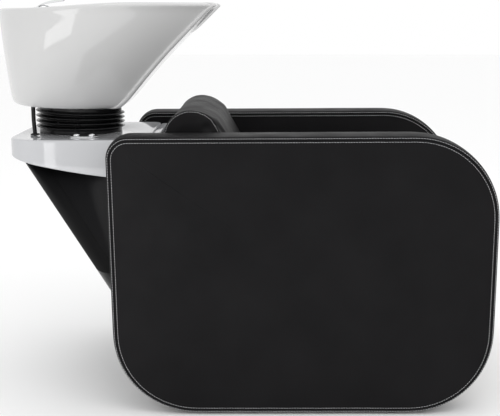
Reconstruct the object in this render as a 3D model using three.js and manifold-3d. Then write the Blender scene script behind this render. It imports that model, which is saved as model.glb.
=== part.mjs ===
// A salon backwash unit: an upholstered seat between two padded arm panels, with a leaning
// pedestal behind it that carries a tilting ceramic wash basin on rubber bellows.
// Millimetres. +X is the way the sitter's feet point, +Y the sitter's left, +Z up.
// The origin is on the floor, under the middle of the whole unit.

import * as THREE from 'three';
import { mergeVertices } from 'three/addons/utils/BufferGeometryUtils.js';
import { ConvexGeometry } from 'three/addons/geometries/ConvexGeometry.js';
import Module from 'manifold-3d';

const wasm = await Module();
wasm.setup();

// ---------------------------------------------------------------- driving dimensions

const gap = 0.3;                    // clearance between pieces that touch
const sheet = 5;                    // wall of plates and moulded shells

// arms
const armInnerY = 234;              // half of the seat gap
const armThick = 98;
const armBackX = -283;
const armFrontX = 587;
const armTopZ = 646;                // top of the arm at its back corner
const armRise = 4;                  // how much higher its front corner is
const armRakeX = 7;                 // how far the back edge leans out at its top
const armRadius = 190;              // front and lower corners
const armTopBackRadius = 50;
const armEdge = 10;                 // rounding of the padded edge
const armFoam = 40;                 // padding around the rim of the plywood core
const armFaceFoam = 22;             // padding on the outer face
const armCoreThick = 50;
const glideHeight = 4;
const glideRadius = 18;

// seat and backrest
const seatTopZ = 465;
const seatBoardTopZ = 345;
const seatBoardThick = 15;
const seatFrontX = 515;
const seatSideClear = 4;
const seatNose = 45;                // rounding of the seat's front edge
const backTopX = -106;              // centre of the backrest's round top
const backTopZ = 630;
const backThick = 140;
const backLength = 250;             // from that centre to the lower end
const backLean = THREE.MathUtils.degToRad(30);
const backBoardThick = 15;
const railWidth = 40;
const railHeight = 40;
const railWall = 3;
const frontRailX = 380;
const bracketDrop = 17;             // how far below the rails' top the bracket meets the rear one
const bracketInnerY = 110;
const bracketWidth = 40;
const bracketTopRun = 110;          // where its plate begins, down from the backrest's round top
const armBoltZ = 200;
const armBoltInset = 40;            // of the front bolt behind the front rail
const armBoltRise = 60;             // of the rear bolt ahead of the rear rail

// pedestal and console
const leanTan = 0.613;              // slope of the pedestal, X per Z
const pedestalRefZ = 568;           // height at which the pedestal's ends are given
const pedestalBackX = -519;
const pedestalDepth = 240;
const pedestalInset = 14;           // of the pedestal's sides under the console's
const pedestalRadius = 70;
const pedestalTopZ = 588;
const basePlateThick = 8;
const postSize = 40;
const postWall = 3;
const postY = 110;
const consoleTopZ = 623;
const consoleBackX = -545;
const consoleFrontX = -216;
const consoleArmGap = 34;           // clear way between console and arm on each side
const consoleRadius = 80;
const consoleFrontRadius = 25;
const consoleEdge = 5;
const consoleLowBackZ = 582;        // lower rim of the shell at its back end
const consoleLowFrontZ = 528;
const trimEndX = -197;

// tilt mechanism
const pivotX = -400;
const pivotZ = 655;
const pinRadius = 6;
const topPlateZ = 594;              // underside of the column's top plate
const topPlateThick = 6;
const earThick = 6;
const earInnerY = 66;
const earRadius = 18;
const hoseHoleBack = 20;            // the hose hole's centre lies this far behind the drain
const hoseHoleClear = 25;
const boltRadius = 5;

// bellows
const bellowsRadius = 110;
const bellowsDepth = 13;            // of a fold
const bellowsWall = 3;
const bellowsFolds = 4;
const bellowsCuff = 8;
const bellowsLedge = 9;             // of the console inside the bellows' foot

// basin
const basinBackX = -587;            // rim
const basinNeckX = -49;
const basinFootBackX = -565;       // the floor's two ends
const basinFootFrontX = -289;
const basinHalfY = 245;
const basinBulge = 20;              // how far the sides swell beyond a straight flare
const neckHalfY = 122;              // half width of the front between the horn tips
const rimBackZ = 925;
const rimRise = 13;                 // how much higher the rim is at the front
const basinFloorZ = 694;            // outside of the floor at its back end
const footMargin = 28;              // of the floor beside the bellows
const footNeckY = 66;
const floorSlope = -0.0575;         // Z per X: the floor dips towards the front
const frontHollow = 22;             // how far the front face bends in
const basinWall = 15;
const basinFloor = 16;
const deckDrop = 57;                // ledge behind the bowl, below the rim
const deckDepth = 147;              // from the rim's back to the front of the ledge
const bowlBackX = -414;             // bowl's back wall, at its floor
const neckRadius = 88;
const neckDepth = 61;               // of the neck recess below the rim
const drainX = -350;
const drainRadius = 20;
const drainWall = 3;

// mixer and showers
const mixerInset = 40;              // behind the front of the ledge
const mixerRadius = 21;
const mixerTopZ = 914;
const leverWidth = 14;
const leverPivotBack = 18;          // behind the mixer's axis
const leverPivotZ = 923;
const hoseRadius = 5;
const hoseClear = 24;               // from the bellows to the hose's middle
const showerY = 98;
const showerGrip = 12;
const supplyRadius = 6;

// ---------------------------------------------------------------- sizes that follow from these

const consoleHalfY = armInnerY - consoleArmGap;
const pedestalHalfY = consoleHalfY - pedestalInset;
const basePlateHalfY = armInnerY - sheet;
const bellowsValley = bellowsRadius - bellowsDepth;
const bellowsOpening = bellowsValley - bellowsLedge;
const footHalfY = bellowsRadius + footMargin;
const hoseX = pivotX - (bellowsRadius + hoseClear) * Math.SQRT1_2;
const hoseY = -(bellowsRadius + hoseClear) * Math.SQRT1_2;
const hoseHoleX = drainX - hoseHoleBack;
const hoseHoleRadius = drainRadius + hoseHoleClear;
const deckFrontX = basinBackX + deckDepth;
const mixerX = deckFrontX - mixerInset;
const leverPivotX = mixerX - leverPivotBack;
const throatX = pivotX - 60;
const floorRefX = pivotX - bellowsRadius;   // where the floor has its stated height
const railTopZ = seatBoardTopZ - seatBoardThick - gap;

// A place on the leaning backrest: s down along it, n out of its front, y across.
function backPlace(s, n, y) {
  const down = [Math.sin(backLean), -Math.cos(backLean)];
  const out = [Math.cos(backLean), Math.sin(backLean)];
  return [backTopX + down[0] * s + out[0] * n, y, backTopZ + down[1] * s + out[1] * n];
}

// Where the backrest's rear face comes down to the rails, and so where the rear rail is.
const bracketN = -backThick / 2 - gap;
const bracketRun = (backPlace(0, bracketN, 0)[2] - railTopZ + bracketDrop) / Math.cos(backLean);
const rearRailX = backPlace(bracketRun, bracketN, 0)[0] + railWidth / 2 + gap;

// ---------------------------------------------------------------- materials

const finish = (color, roughness, metalness = 0) =>
  new THREE.MeshStandardMaterial({ color, roughness, metalness });

const vinyl = finish(0x1c1c1e, 0.5);
const plywood = finish(0xb08a5a, 0.8);
const steel = finish(0x3a3c40, 0.5, 0.8);
const zinc = finish(0xa9adb3, 0.4, 0.9);
const chrome = finish(0xd8dce0, 0.1, 1);
const ceramic = finish(0xe6e6e4, 0.12);
const gloss = finish(0xe2e3e5, 0.15);
const laminate = finish(0x202123, 0.35);
const rubber = finish(0x101012, 0.35);
const plastic = finish(0x2a2a2c, 0.6);

// ---------------------------------------------------------------- making solids

const unit = new THREE.Group();

function add(name, geometry, material) {
  const mesh = new THREE.Mesh(geometry, material);
  mesh.name = name;
  unit.add(mesh);
}

function toSolid(geometry) {
  const bare = geometry.clone();
  bare.deleteAttribute('normal');
  bare.deleteAttribute('uv');
  const merged = mergeVertices(bare, 1e-3);
  return new wasm.Manifold(new wasm.Mesh({
    numProp: 3,
    vertProperties: Float32Array.from(merged.attributes.position.array),
    triVerts: Uint32Array.from(merged.index.array),
  }));
}

function toGeometry(solid) {
  const mesh = solid.getMesh();
  const geometry = new THREE.BufferGeometry();
  geometry.setAttribute('position', new THREE.BufferAttribute(mesh.vertProperties, 3));
  geometry.setIndex(new THREE.BufferAttribute(mesh.triVerts, 1));
  geometry.computeVertexNormals();
  return geometry;
}

const cut = (body, ...tools) =>
  toGeometry(tools.reduce((left, tool) => left.subtract(toSolid(tool)), toSolid(body)));

const join = (body, ...more) =>
  toGeometry(more.reduce((sum, piece) => sum.add(toSolid(piece)), toSolid(body)));

const overlap = (body, other) => toGeometry(toSolid(body).intersect(toSolid(other)));

// Small edges are one chamfer; an edge of 8 or more is rounded in two steps.
const extrude = (shape, depth, edge) => new THREE.ExtrudeGeometry(shape, {
  depth: depth - 2 * edge,
  bevelEnabled: edge > 0,
  bevelThickness: edge,
  bevelSize: edge,
  bevelOffset: -edge,
  bevelSegments: edge < 8 ? 1 : 2,
  curveSegments: 6,
});

// An outline drawn in X and Y, made into a body from z0 up to z1.
const plateXY = (shape, z0, z1, edge = 0) =>
  extrude(shape, z1 - z0, edge).translate(0, 0, z0 + edge);

// An outline drawn in X and Z, made into a body from y0 to y1.
const plateXZ = (shape, y0, y1, edge = 0) =>
  extrude(shape, y1 - y0, edge).rotateX(Math.PI / 2).translate(0, y1 - edge, 0);

const box = (x0, x1, y0, y1, z0, z1) =>
  new THREE.BoxGeometry(x1 - x0, y1 - y0, z1 - z0)
    .translate((x0 + x1) / 2, (y0 + y1) / 2, (z0 + z1) / 2);

const rodZ = (x, y, z0, z1, radius, sides = 16) =>
  new THREE.CylinderGeometry(radius, radius, z1 - z0, sides)
    .rotateX(Math.PI / 2).translate(x, y, (z0 + z1) / 2);

const rodY = (x, z, y0, y1, radius, sides = 16) =>
  new THREE.CylinderGeometry(radius, radius, y1 - y0, sides).translate(x, (y0 + y1) / 2, z);

const rodX = (y, z, x0, x1, radius, sides = 16) =>
  new THREE.CylinderGeometry(radius, radius, x1 - x0, sides)
    .rotateZ(Math.PI / 2).translate((x0 + x1) / 2, y, z);

// A body of revolution about a vertical axis at x, y, from [radius, z] pairs.
const turned = (x, y, profile, sides = 32) =>
  new THREE.LatheGeometry(profile.map(([r, z]) => new THREE.Vector2(r, z)), sides)
    .rotateX(Math.PI / 2).translate(x, y, 0);

// A ring of rectangular section, as a tube, washer or collar has.
const ringZ = (x, y, z0, z1, inner, outer, sides = 32) =>
  turned(x, y, [[inner, z0], [outer, z0], [outer, z1], [inner, z1], [inner, z0]], sides);

// A rectangle with its own radius at each corner: low-x low-y, high-x low-y, high high, low high.
function roundedRect(x0, x1, y0, y1, [a, b, c, d]) {
  const shape = new THREE.Shape();
  shape.moveTo(x0 + a, y0);
  shape.lineTo(x1 - b, y0);
  shape.absarc(x1 - b, y0 + b, b, -Math.PI / 2, 0);
  shape.lineTo(x1, y1 - c);
  shape.absarc(x1 - c, y1 - c, c, 0, Math.PI / 2);
  shape.lineTo(x0 + d, y1);
  shape.absarc(x0 + d, y1 - d, d, Math.PI / 2, Math.PI);
  shape.lineTo(x0, y0 + a);
  shape.absarc(x0 + a, y0 + a, a, Math.PI, 1.5 * Math.PI);
  return shape;
}

// A tube or rod that follows points in space; its section has twice halfSides sides.
function alongPath(points, radius, halfSides, inner = 0) {
  const curve = new THREE.CatmullRomCurve3(points.map((p) => new THREE.Vector3(...p)));
  const section = new THREE.Shape().absarc(0, 0, radius, 0, 2 * Math.PI);
  if (inner > 0) section.holes.push(new THREE.Path().absarc(0, 0, inner, 0, 2 * Math.PI));
  const steps = Math.min(40, Math.ceil(curve.getLength() / (radius * 5)));
  return new THREE.ExtrudeGeometry(section, {
    steps,
    curveSegments: halfSides,
    extrudePath: curve,
    bevelEnabled: false,
  });
}

const sides = [['near', -1], ['far', 1]];

// From y0 to y1 on one side of the middle plane, in rising order.
const onSide = (sign, y0, y1) => [Math.min(sign * y0, sign * y1), Math.max(sign * y0, sign * y1)];

// ---------------------------------------------------------------- arms

// The arm panel seen from the side, drawn in by the given amount all round.
function armOutline(inset) {
  const x0 = armBackX + inset;
  const x1 = armFrontX - inset;
  const z0 = glideHeight + inset;
  const zBack = armTopZ - inset;
  const zFront = zBack + armRise;
  const r = armRadius - inset;
  const rBack = Math.max(armTopBackRadius - inset, 8);
  const shape = new THREE.Shape();
  shape.moveTo(x0 + r, z0);
  shape.lineTo(x1 - r, z0);
  shape.absarc(x1 - r, z0 + r, r, -Math.PI / 2, 0);
  shape.lineTo(x1, zFront - r);
  shape.absarc(x1 - r, zFront - r, r, 0, Math.PI / 2);
  shape.lineTo(x0 - armRakeX + rBack, zBack);
  shape.absarc(x0 - armRakeX + rBack, zBack - rBack, rBack, Math.PI / 2, Math.PI);
  shape.lineTo(x0, z0 + r);
  shape.absarc(x0 + r, z0 + r, r, Math.PI, 1.5 * Math.PI);
  return shape;
}

function makeArms() {
  const outer = armInnerY + armThick;
  const pocketY = outer - armFaceFoam;
  const coreInnerY = pocketY - gap - armCoreThick;
  const glideX = [armBackX + armRadius + 30, armFrontX - armRadius - 30];
  for (const [side, sign] of sides) {
    const panel = plateXZ(armOutline(0), ...onSide(sign, armInnerY, outer), armEdge);
    const pocket = plateXZ(armOutline(armFoam), ...onSide(sign, armInnerY - 5, pocketY));
    const bolts = armBoltPlaces();
    add(`arm_cover_${side}`, cut(panel, pocket), vinyl);
    const core = plateXZ(armOutline(armFoam + gap), ...onSide(sign, coreInnerY, pocketY - gap));
    const pad = plateXZ(armOutline(armFoam + gap), ...onSide(sign, armInnerY, coreInnerY - gap));
    const bores = bolts.map(([x, z]) =>
      rodY(x, z, ...onSide(sign, 0, coreInnerY + 30 + gap), boltRadius + gap));
    add(`arm_core_${side}`, cut(core, ...bores), plywood);
    add(`arm_inner_pad_${side}`, cut(pad, ...bores), vinyl);
    glideX.forEach((x, i) => {
      const y = sign * (armInnerY + armThick / 2);
      add(`arm_glide_${side}_${i ? 'front' : 'back'}`, rodZ(x, y, 0, glideHeight - gap, glideRadius),
        plastic);
    });
    bolts.forEach(([x, z], i) => {
      const head = armInnerY - gap - sheet - gap;
      const shank = rodY(x, z, ...onSide(sign, head - 1, coreInnerY + 30), boltRadius, 16);
      const cap = rodY(x, z, ...onSide(sign, head - 6, head), 2 * boltRadius, 6);
      add(`arm_bolt_${side}_${i ? 'front' : 'back'}`, join(shank, cap), zinc);
    });
  }
}

// Where the bolts go through each side plate into the arm's core, as X and Z.
function armBoltPlaces() {
  return [[rearRailX + armBoltRise, armBoltZ], [frontRailX - armBoltInset, armBoltZ]];
}

// ---------------------------------------------------------------- seat

function makeSeat() {
  const plateOuter = armInnerY - gap;
  const plateInner = plateOuter - sheet;
  for (const [side, sign] of sides) {
    const plate = box(rearRailX - 40, frontRailX + 40, ...onSide(sign, plateInner, plateOuter),
      basePlateThick + gap, railTopZ);
    const bores = armBoltPlaces().map(([x, z]) => rodY(x, z, -400, 400, boltRadius + gap));
    add(`seat_side_plate_${side}`, cut(plate, ...bores), steel);
  }
  const halfY = plateInner - gap;
  const rail = (x) => cut(
    box(x - railWidth / 2, x + railWidth / 2, -halfY, halfY, railTopZ - railHeight, railTopZ),
    box(x - railWidth / 2 + railWall, x + railWidth / 2 - railWall, -halfY - 1, halfY + 1,
      railTopZ - railHeight + railWall, railTopZ - railWall));
  add('front_rail', rail(frontRailX), steel);
  add('rear_rail', rail(rearRailX), steel);

  const kickX = frontRailX + railWidth / 2 + gap;
  add('front_panel', box(kickX, kickX + 12, -halfY, halfY, 20, railTopZ), laminate);

  const board = box(rearRailX - railWidth / 2, seatFrontX - 15, -armInnerY + 8, armInnerY - 8,
    seatBoardTopZ - seatBoardThick, seatBoardTopZ);
  const behind = new THREE.BoxGeometry(400, 600, 1000).translate(-200, 0, 0)
    .rotateY(-backLean).translate(...backPlace(0, backThick / 2 + seatSideClear, 0));
  add('seat_board', board, plywood);
  const seatHalfY = armInnerY - seatSideClear;
  const cushion = plateXZ(
    roundedRect(rearRailX - 60, seatFrontX, seatBoardTopZ + gap, seatTopZ, [12, 14, seatNose, 12]),
    -seatHalfY, seatHalfY, 8);
  add('seat_cushion', cut(cushion, behind), vinyl);
}

function backShape(points) {
  const shape = new THREE.Shape();
  points.forEach(([s, n], i) => {
    const [x, , z] = backPlace(s, n, 0);
    if (i) shape.lineTo(x, z);
    else shape.moveTo(x, z);
  });
  return shape;
}

function makeBackrest() {
  const r = backThick / 2;
  const halfY = armInnerY - seatSideClear;
  const corner = 12;
  const shape = backShape([[0, r], [backLength - corner, r], [backLength, r - corner],
    [backLength, -r]]);
  shape.lineTo(...backPlace(0, -r, 0).filter((_, i) => i !== 1));
  shape.absarc(backTopX, backTopZ, r, Math.PI + backLean, backLean, true);
  const pad = plateXZ(shape, -halfY, halfY, 8);
  const boardFrom = 10;
  const boardTo = backLength - 12;
  const pocket = plateXZ(
    backShape([[boardFrom, -r - 5], [boardFrom, backBoardThick - r], [boardTo, backBoardThick - r],
      [boardTo, -r - 5]]),
    -halfY + 20, halfY - 20);
  add('backrest_cushion', cut(pad, pocket), vinyl);
  const inner = backBoardThick - r - gap;
  add('backrest_board', plateXZ(
    backShape([[boardFrom + gap, -r], [boardFrom + gap, inner], [boardTo - gap, inner],
      [boardTo - gap, -r]]),
    -halfY + 20 + gap, halfY - 20 - gap), plywood);

  const railBackX = rearRailX - railWidth / 2 - gap;
  const rearRun = (railBackX - sheet - backPlace(0, bracketN - sheet, 0)[0]) / Math.sin(backLean);
  for (const [side, sign] of sides) {
    const bracket = backShape([[bracketTopRun, bracketN], [bracketRun, bracketN]]);
    bracket.lineTo(railBackX, railTopZ - railHeight);
    bracket.lineTo(railBackX - sheet, railTopZ - railHeight);
    for (const run of [rearRun, bracketTopRun]) {
      const [x, , z] = backPlace(run, bracketN - sheet, 0);
      bracket.lineTo(x, z);
    }
    const acrossY = onSide(sign, bracketInnerY, bracketInnerY + bracketWidth);
    add(`backrest_bracket_${side}`, plateXZ(bracket, ...acrossY), steel);
  }
}

// ---------------------------------------------------------------- pedestal

// Leans an upright body back at the pedestal's slope, keeping it in place at the reference height.
function lean(geometry) {
  const shear = new THREE.Matrix4().set(
    1, 0, -leanTan, leanTan * pedestalRefZ,
    0, 1, 0, 0,
    0, 0, 1, 0,
    0, 0, 0, 1);
  return geometry.applyMatrix4(shear);
}

function makePedestal() {
  const z0 = basePlateThick + gap;
  const frontX = pedestalBackX + pedestalDepth;
  const outline = (inset, x1) => roundedRect(pedestalBackX + inset, x1, -pedestalHalfY + inset,
    pedestalHalfY - inset, [pedestalRadius - inset, 0.1, 0.1, pedestalRadius - inset]);
  const shell = cut(plateXY(outline(0, frontX), z0, pedestalTopZ),
    plateXY(outline(sheet, frontX + 10), z0 - 5, pedestalTopZ + 5));
  add('pedestal_back', lean(shell), laminate);
  const panelHalfY = pedestalHalfY - sheet - gap;
  add('pedestal_front',
    lean(box(frontX - sheet, frontX, -panelHalfY, panelHalfY, z0, pedestalTopZ)), laminate);

  const floorShift = leanTan * pedestalRefZ;
  add('base_plate', plateXY(
    roundedRect(pedestalBackX + floorShift - 10, frontX + floorShift + 10, -basePlateHalfY,
      basePlateHalfY, [20, 20, 20, 20]), 0, basePlateThick), steel);

  const postX = pedestalBackX + pedestalDepth / 2;
  const half = postSize / 2;
  for (const [side, sign] of sides) {
    const square = (size, low, high) => box(postX - size, postX + size, sign * postY - size,
      sign * postY + size, low, high);
    const tube = cut(square(half, z0, topPlateZ - gap),
      square(half - postWall, z0 - 5, topPlateZ + 5));
    add(`column_post_${side}`, lean(tube), steel);
  }
}

// ---------------------------------------------------------------- console

function consoleOutline(inset) {
  const r = consoleRadius - inset;
  const rf = consoleFrontRadius - inset;
  return roundedRect(consoleBackX + inset, consoleFrontX - inset, -consoleHalfY + inset,
    consoleHalfY - inset, [r, rf, rf, r]);
}

// The shell from the side: flat on top, its lower rim sweeping up towards the back.
function consoleSide() {
  const shape = new THREE.Shape();
  shape.moveTo(consoleBackX - 5, consoleTopZ + 5);
  shape.lineTo(consoleBackX - 5, consoleLowBackZ + 1);
  const bendX = (consoleBackX + consoleFrontX) / 2;
  shape.quadraticCurveTo(bendX, consoleLowFrontZ + 10, consoleFrontX + 5, consoleLowFrontZ);
  shape.lineTo(consoleFrontX + 5, consoleTopZ + 5);
  return shape;
}

function makeConsole() {
  const block = plateXY(consoleOutline(0), consoleLowFrontZ - 40, consoleTopZ, consoleEdge);
  const inside = plateXY(consoleOutline(sheet), consoleLowFrontZ - 60, consoleTopZ - sheet);
  const trimmed = overlap(block, plateXZ(consoleSide(), -consoleHalfY - 5, consoleHalfY + 5));
  const shell = cut(trimmed, inside,
    rodZ(pivotX, 0, consoleTopZ - 20, consoleTopZ + 10, bellowsOpening, 40),
    rodZ(hoseX, hoseY, consoleTopZ - 20, consoleTopZ + 10, hoseRadius + 3));
  add('console_shell', shell, gloss);

  const trimHalfY = consoleHalfY - consoleFrontRadius + 10;
  add('console_trim', plateXZ(
    roundedRect(consoleFrontX + gap, trimEndX, consoleLowFrontZ + 40, consoleTopZ - 2, [4, 5, 7, 4]),
    -trimHalfY, trimHalfY, 2), gloss);

  add('hose_grommet', ringZ(hoseX, hoseY, consoleTopZ + gap, consoleTopZ + 4, hoseRadius + 1,
    hoseRadius + 6, 16), rubber);

  // oval cover plate over the water connections, with two domed screw caps
  const plateX = -369;
  const plateY = -(bellowsRadius + 22);
  const plateTop = consoleTopZ + gap + 2.5;
  const oval = roundedRect(plateX - 34, plateX + 34, plateY - 19, plateY + 19, [19, 19, 19, 19]);
  add('cover_plate', plateXY(oval, consoleTopZ + gap, plateTop, 1), chrome);
  sides.forEach(([, sign], i) => {
    const cap = [[0, plateTop + gap], [8, plateTop + gap], [7.5, plateTop + 3], [4, plateTop + 5.5],
      [0, plateTop + 6]];
    add(`cover_cap_${i ? 'front' : 'back'}`, turned(plateX + sign * 18, plateY, cap, 20), chrome);
  });
}

// ---------------------------------------------------------------- tilt mechanism

const bracketZ = topPlateZ + topPlateThick + gap;
const bracketX0 = pivotX - 75;
const bracketX1 = pivotX + 90;
const carrierAngle = Math.atan(-floorSlope);
const topPlateHalfY = 150;
const bridgeHalfY = 92;

// Height of the basin's outside floor at a given X.
const floorZ = (x) => basinFloorZ + floorSlope * (x - floorRefX);

function makeTilt() {
  const boltY = 66;
  const boltX = bracketX0 + 12;
  const hoseHole = rodZ(hoseHoleX, 0, 500, 700, hoseHoleRadius, 32);
  const boltHoles = sides.map(([, sign]) => rodZ(boltX, sign * boltY, 500, 700, boltRadius + gap));
  const top = plateXY(
    roundedRect(bracketX0 - 5, bracketX1 + 5, -topPlateHalfY, topPlateHalfY, [15, 15, 15, 15]),
    topPlateZ, topPlateZ + topPlateThick);
  add('column_top_plate', cut(top, hoseHole, ...boltHoles), steel);

  const earSide = new THREE.Shape();
  earSide.moveTo(pivotX - 28, bracketZ + 1);
  earSide.lineTo(pivotX + 28, bracketZ + 1);
  earSide.lineTo(pivotX + earRadius, pivotZ);
  earSide.absarc(pivotX, pivotZ, earRadius, 0, Math.PI);
  const ears = sides.map(([, sign]) =>
    plateXZ(earSide, ...onSide(sign, earInnerY, earInnerY + earThick)));
  const bridge = box(bracketX0, bracketX1, -bridgeHalfY, bridgeHalfY, bracketZ, bracketZ + sheet);
  const pivotHole = rodY(pivotX, pivotZ, -150, 150, pinRadius + gap);
  add('tilt_bracket', cut(join(bridge, ...ears), hoseHole, pivotHole, ...boltHoles), steel);
  for (const [side, sign] of sides) {
    const headZ = bracketZ + sheet + gap;
    const shank = rodZ(boltX, sign * boltY, topPlateZ - 8, headZ + 1, boltRadius, 16);
    const head = rodZ(boltX, sign * boltY, headZ, headZ + 6, 2 * boltRadius, 6);
    add(`bracket_bolt_${side}`, join(shank, head), zinc);
  }

  // the carrier is drawn level and then turned to lie along the basin's floor
  const carrierTop = floorZ(pivotX) - gap - 0.8;
  const lugOuterY = earInnerY - 7;
  const lugSide = new THREE.Shape();
  lugSide.moveTo(pivotX - earRadius, carrierTop - 1);
  lugSide.lineTo(pivotX - earRadius + 3, pivotZ);
  lugSide.absarc(pivotX, pivotZ, earRadius - 3, Math.PI, 2 * Math.PI);
  lugSide.lineTo(pivotX + earRadius, carrierTop - 1);
  const lugs = sides.map(([, sign]) =>
    plateXZ(lugSide, ...onSide(sign, lugOuterY - earThick, lugOuterY)));
  const plate = plateXY(roundedRect(pivotX - 75, pivotX + 75, -66, 66, [26, 26, 26, 26]),
    carrierTop - sheet, carrierTop);
  const level = join(plate, ...lugs);
  const turn = level.translate(-pivotX, 0, -pivotZ).rotateY(carrierAngle)
    .translate(pivotX, 0, pivotZ);
  add('basin_carrier', cut(turn, rodY(pivotX, pivotZ, -150, 150, pinRadius + gap),
    rodZ(drainX, 0, 600, 720, drainRadius + 6),
    rodZ(pivotX - 55, 0, 600, 720, 26)), zinc);
  for (const [side, sign] of sides) {
    const headY = earInnerY + earThick + gap;
    const shank = rodY(pivotX, pivotZ, ...onSide(sign, lugOuterY - earThick - 4, headY + 1), pinRadius);
    const head = rodY(pivotX, pivotZ, ...onSide(sign, headY, headY + 6), pinRadius + 4);
    add(`pivot_pin_${side}`, join(shank, head), zinc);
  }
}

// ---------------------------------------------------------------- bellows and hoses

function makeBellows() {
  const z0 = consoleTopZ + gap;
  const z1 = floorZ(pivotX) - gap - 0.4;
  const cuff = bellowsValley + 5;
  const pitch = (z1 - z0 - 2 * bellowsCuff) / bellowsFolds;
  const outer = [[cuff, z0], [cuff, z0 + bellowsCuff - 2]];
  for (let i = 0; i < bellowsFolds; i += 1) {
    const low = z0 + bellowsCuff + i * pitch;
    outer.push([bellowsValley, low]);
    outer.push([bellowsRadius, low + pitch / 2]);
  }
  outer.push([bellowsValley, z1 - bellowsCuff], [cuff, z1 - bellowsCuff + 2], [cuff, z1]);
  const inner = outer.map(([r, z]) => [r - bellowsWall, z]).reverse();
  const tube = turned(0, 0, [...outer, ...inner, outer[0]], 24);
  // the top lies along the basin's sloping floor, the foot on the level console
  const place = tube.attributes.position;
  for (let i = 0; i < place.count; i += 1) {
    const share = (place.getZ(i) - z0) / (z1 - z0);
    place.setZ(i, place.getZ(i) + share * floorSlope * place.getX(i));
  }
  tube.translate(pivotX, 0, 0);
  add('bellows', tube, rubber);
  add('bellows_ring', ringZ(pivotX, 0, z0, z0 + 5, bellowsOpening + 2, cuff - bellowsWall - 1, 24),
    plastic);
}

function makeHoses() {
  const floorAt = floorZ(hoseX);
  add('shower_hose', alongPath([
    [hoseX + 2, hoseY, consoleTopZ - 28],
    [hoseX, hoseY, consoleTopZ],
    [hoseX - 2, hoseY, (consoleTopZ + floorAt) / 2],
    [hoseX - 2, hoseY, floorAt],
    [hoseX - 2, hoseY, floorAt + 9],
  ], hoseRadius, 4), rubber);

  const waste = drainRadius;
  add('waste_hose', alongPath([
    [drainX, 0, 628.5],
    [drainX - 2, 0, 590],
    [drainX + 5, 0, 540],
    [-250, 0, 372],
    [-140, 0, 195],
    [-62, 0, 70],
    [-52, 0, basePlateThick + 6],
  ], waste, 5, waste - drainWall), plastic);

  for (const [name, sign] of [['supply_hose_hot', -1], ['supply_hose_cold', 1]]) {
    add(name, alongPath([
      [mixerX, sign * 8, 844],
      [mixerX * 0.7 + throatX * 0.3, sign * 10, 800],
      [mixerX * 0.35 + throatX * 0.65, sign * 12, 740],
      [throatX - 2, sign * 14, 690],
      [throatX + 26, sign * 22, 650],
      [hoseHoleX - 18, sign * 30, 615],
      [hoseHoleX - 16, sign * 30, 590],
      [hoseHoleX - 8, sign * 42, 555],
      [-220, sign * 58, 265],
      [-85, sign * 60, 50],
      [-80, sign * 60, basePlateThick + 6],
    ], supplyRadius, 4), rubber);
  }
}

// ---------------------------------------------------------------- basin

const rimFrontZ = rimBackZ + rimRise;
const deckZ = rimBackZ - deckDrop;
const bowlFloorZ = floorZ(basinFootFrontX) + basinFloor + 12;

// The basin's plan at height z, drawn in by inset: a rounded back, full sides and a narrow front.
function basinRing(z, inset, tilt = 0) {
  const share = (z - basinFloorZ) / (rimBackZ - basinFloorZ);
  const mix = (low, high) => low + (high - low) * share;
  const back = mix(basinFootBackX, basinBackX) + inset;
  const front = mix(basinFootFrontX, basinNeckX) - inset * 1.4;
  const swell = share > 0 && share < 1 ? Math.sin(Math.PI * share) : 0;
  const half = mix(footHalfY, basinHalfY) + basinBulge * swell - inset;
  const neck = mix(footNeckY, neckHalfY) - inset * 0.6;
  const wideX = back + (front - back) * 0.38;
  const side = new THREE.CurvePath();
  side.add(new THREE.CubicBezierCurve(new THREE.Vector2(back, 0),
    new THREE.Vector2(back, half * 0.46), new THREE.Vector2(wideX - (wideX - back) * 0.6, half),
    new THREE.Vector2(wideX, half)));
  side.add(new THREE.CubicBezierCurve(new THREE.Vector2(wideX, half),
    new THREE.Vector2(wideX + (front - wideX) * 0.45, half),
    new THREE.Vector2(front - (front - wideX) * 0.32, neck + (half - neck) * 0.55),
    new THREE.Vector2(front, neck)));
  return side.getPoints(8).flatMap(({ x, y }) =>
    [y, -y].map((across) => new THREE.Vector3(x, across, z + tilt * (x - floorRefX))));
}

// The basin from the side: slanted back, dipping floor, hollowed front and gently rising rim.
function basinSide() {
  const shape = new THREE.Shape();
  shape.moveTo(basinBackX, rimBackZ);
  shape.lineTo(basinBackX, rimBackZ - 15);
  shape.lineTo(basinFootBackX - 2, basinFloorZ + 15);
  shape.quadraticCurveTo(basinFootBackX + 2, floorZ(basinFootBackX),
    basinFootBackX + 32, floorZ(basinFootBackX + 32));
  shape.lineTo(basinFootFrontX - 20, floorZ(basinFootFrontX - 20));
  const knee = [basinFootFrontX + 18, floorZ(basinFootFrontX) + 22];
  const lip = [basinNeckX - 8, rimFrontZ - 20];
  shape.quadraticCurveTo(basinFootFrontX, floorZ(basinFootFrontX), ...knee);
  shape.quadraticCurveTo((knee[0] + lip[0]) / 2 - frontHollow * 0.7,
    (knee[1] + lip[1]) / 2 + frontHollow * 0.7, ...lip);
  shape.quadraticCurveTo(basinNeckX, rimFrontZ - 10, basinNeckX, rimFrontZ - 5);
  shape.quadraticCurveTo(basinNeckX - 4, rimFrontZ, basinNeckX - 30, rimFrontZ);
  shape.lineTo(basinNeckX - 180, rimFrontZ);
  shape.lineTo(basinBackX + 90, rimBackZ);
  return shape;
}

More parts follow.
